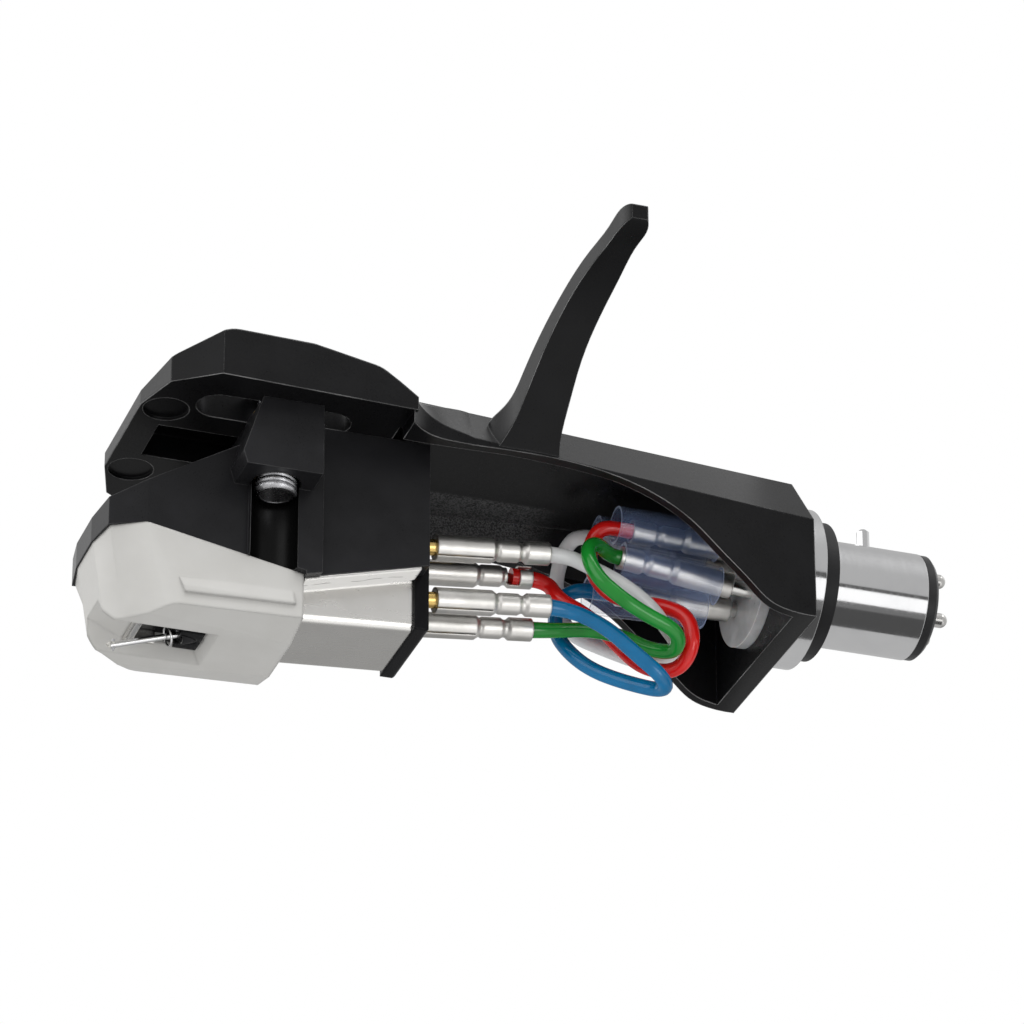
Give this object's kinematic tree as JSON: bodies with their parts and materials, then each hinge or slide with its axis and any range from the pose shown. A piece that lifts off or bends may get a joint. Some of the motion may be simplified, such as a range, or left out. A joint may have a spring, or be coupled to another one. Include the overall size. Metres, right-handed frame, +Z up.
{
  "type": "turntable headshell with phono cartridge",
  "caption": "Cast bayonet headshell with curved finger lift carrying a moving-magnet phono cartridge with pull-off stylus, wired by colour-coded leads with crimp clips and clear sleeves.",
  "frame": {"origin": "on the plug axis at the rear face of the rubber washer, where the tonearm's socket meets it", "axes": "+X back along the plug into the arm, +Z up, the finger lift to -Y"},
  "size_m": [0.0656, 0.0366, 0.0279],
  "materials": {
    "casting": "semi-gloss black coat on a die casting",
    "plug_chrome": "bright chrome",
    "washer_rubber": "matt black",
    "contact_plate": "silver-coloured plate on brass",
    "gold_plate": "gold plated",
    "insulator_black": "moulded black",
    "insulator_grey": "translucent grey moulding",
    "body_black": "fine satin black",
    "insert_brass": "turned brass",
    "screw_steel": "plated steel",
    "shield_nickel": "dull nickel plate",
    "pole_alloy": "laminated nickel-iron",
    "bobbin_plastic": "natural moulding",
    "coil_copper": "enamelled copper winding",
    "holder_white": "pale satin moulding",
    "thin_aluminium": "drawn tube",
    "damper_rubber": "soft black",
    "magnet_metal": "bare magnet rod",
    "diamond": "polished",
    "clip_tinned": "tinned sheet",
    "sleeve_clear": "clear faintly blue tube",
    "jacket_white": "smooth jacket",
    "jacket_blue": "smooth jacket",
    "jacket_red": "smooth jacket",
    "jacket_green": "smooth jacket"
  },
  "bodies": {
    "shell": {"headshell_body": "casting", "plug_barrel": "plug_chrome", "locating_pin": "plug_chrome", "rubber_washer": "washer_rubber", "contact_pin_left_top": "contact_plate", "contact_pin_left_low": "contact_plate", "contact_pin_right_top": "contact_plate", "contact_pin_right_low": "contact_plate", "terminal_pin_white": "gold_plate", "terminal_pin_blue": "gold_plate", "terminal_pin_red": "gold_plate", "terminal_pin_green": "gold_plate", "plug_insulator": "insulator_black", "rear_plate": "insulator_black", "insulator_disc": "insulator_grey", "cartridge_body": "body_black", "threaded_insert_left": "insert_brass", "threaded_insert_right": "insert_brass", "mounting_screw_left": "screw_steel", "mounting_screw_right": "screw_steel", "shield_case": "shield_nickel", "pole_piece_left": "pole_alloy", "pole_piece_right": "pole_alloy", "bobbin_left": "bobbin_plastic", "bobbin_right": "bobbin_plastic", "coil_left": "coil_copper", "coil_right": "coil_copper", "clip_white": "clip_tinned", "clip_blue": "clip_tinned", "clip_red": "clip_tinned", "clip_green": "clip_tinned", "shell_clip_white": "clip_tinned", "shell_clip_blue": "clip_tinned", "shell_clip_red": "clip_tinned", "shell_clip_green": "clip_tinned", "sleeve_white": "sleeve_clear", "sleeve_blue": "sleeve_clear", "sleeve_red": "sleeve_clear", "sleeve_green": "sleeve_clear", "lead_white": "jacket_white", "lead_blue": "jacket_blue", "lead_red": "jacket_red", "lead_green": "jacket_green"},
    "stylus": {"stylus_holder": "holder_white", "suspension_block": "insulator_black", "guard_plate": "shield_nickel", "joint_pipe": "thin_aluminium", "damper_ring": "damper_rubber"},
    "cantilever": {"cantilever": "thin_aluminium", "magnet": "magnet_metal", "stylus_tip": "diamond"}
  },
  "joints": [
    {"name": "stylus_pull_off", "type": "slide", "parent": "shell", "child": "stylus", "axis": [-0.9494, 0, -0.314], "range_m": [0, 0.008]},
    {"name": "cantilever_pivot", "type": "hinge", "parent": "stylus", "child": "cantilever", "pos_m": [-0.0481, 0, -0.01115], "axis": [0, 1, 0], "range_deg": [-2, 3], "stiffness_Nm_per_rad": 0.0034}
  ]
}
